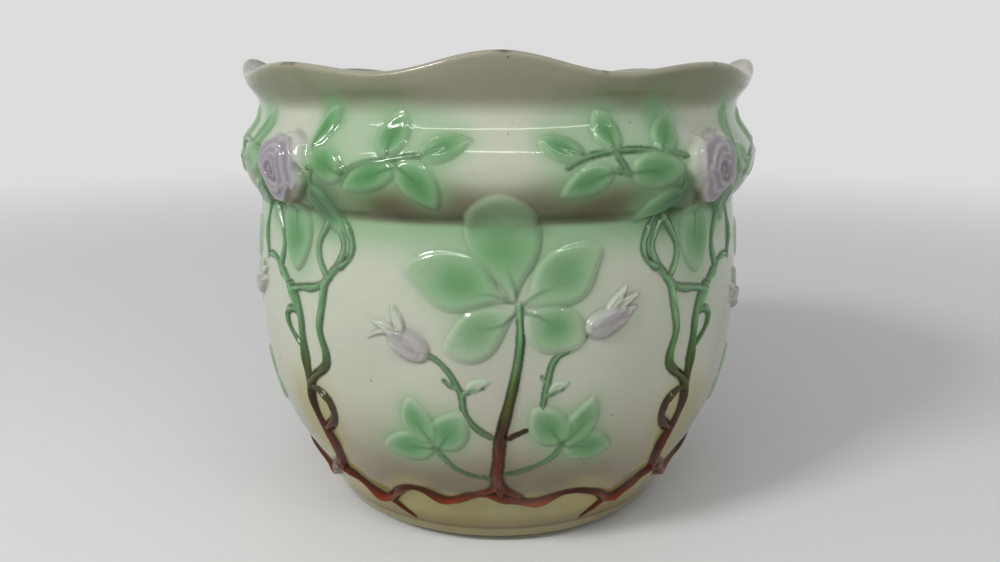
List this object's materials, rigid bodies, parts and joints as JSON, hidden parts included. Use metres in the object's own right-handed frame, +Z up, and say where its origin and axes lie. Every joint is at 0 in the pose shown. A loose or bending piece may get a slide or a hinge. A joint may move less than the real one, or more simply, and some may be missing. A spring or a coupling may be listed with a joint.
{
  "type": "jardiniere",
  "caption": "Round glazed earthenware jardiniere: bowl body on a foot ring, rolled shoulder, flared waved rim, rose bush relief on the sides.",
  "frame": {"origin": "centre of the foot ring's underside, on the surface that the pot stands on", "axes": "+Z up along the pot's axis; the front side with its rose bush faces -Y; the corner roses are at 45 degrees between the sides"},
  "size_m": [0.333, 0.333, 0.291],
  "materials": {
    "body_glaze": "glossy cream glaze with a soft green tint",
    "foot_glaze": "glossy pale yellow glaze",
    "leaf_glaze": "glossy translucent green glaze",
    "bark_glaze": "glossy glaze, brown at the foot and green above",
    "vine_glaze": "glossy glaze, brown at the foot and green above",
    "root_glaze": "glossy red-brown glaze",
    "bud_glaze": "glossy lavender glaze",
    "rose_glaze": "glossy lavender glaze"
  },
  "bodies": {
    "root": {"foot_ring": "foot_glaze", "belly": "body_glaze", "shoulder_roll": "body_glaze", "rim_collar": "body_glaze", "front_side_trunk": "bark_glaze", "front_side_rose_leaves": "leaf_glaze", "front_side_left_bud": "bud_glaze", "front_side_right_bud": "bud_glaze", "front_side_left_sprig": "leaf_glaze", "front_side_right_sprig": "leaf_glaze", "front_side_roots": "root_glaze", "front_side_right_spray": "leaf_glaze", "front_side_left_spray": "leaf_glaze", "right_side_trunk": "bark_glaze", "right_side_rose_leaves": "leaf_glaze", "right_side_left_bud": "bud_glaze", "right_side_right_bud": "bud_glaze", "right_side_left_sprig": "leaf_glaze", "right_side_right_sprig": "leaf_glaze", "right_side_roots": "root_glaze", "right_side_right_spray": "leaf_glaze", "right_side_left_spray": "leaf_glaze", "back_side_trunk": "bark_glaze", "back_side_rose_leaves": "leaf_glaze", "back_side_left_bud": "bud_glaze", "back_side_right_bud": "bud_glaze", "back_side_left_sprig": "leaf_glaze", "back_side_right_sprig": "leaf_glaze", "back_side_roots": "root_glaze", "back_side_right_spray": "leaf_glaze", "back_side_left_spray": "leaf_glaze", "left_side_trunk": "bark_glaze", "left_side_rose_leaves": "leaf_glaze", "left_side_left_bud": "bud_glaze", "left_side_right_bud": "bud_glaze", "left_side_left_sprig": "leaf_glaze", "left_side_right_sprig": "leaf_glaze", "left_side_roots": "root_glaze", "left_side_right_spray": "leaf_glaze", "left_side_left_spray": "leaf_glaze", "front_right_rose": "rose_glaze", "front_right_vine": "vine_glaze", "back_right_rose": "rose_glaze", "back_right_vine": "vine_glaze", "back_left_rose": "rose_glaze", "back_left_vine": "vine_glaze", "front_left_rose": "rose_glaze", "front_left_vine": "vine_glaze"}
  },
  "joints": []
}
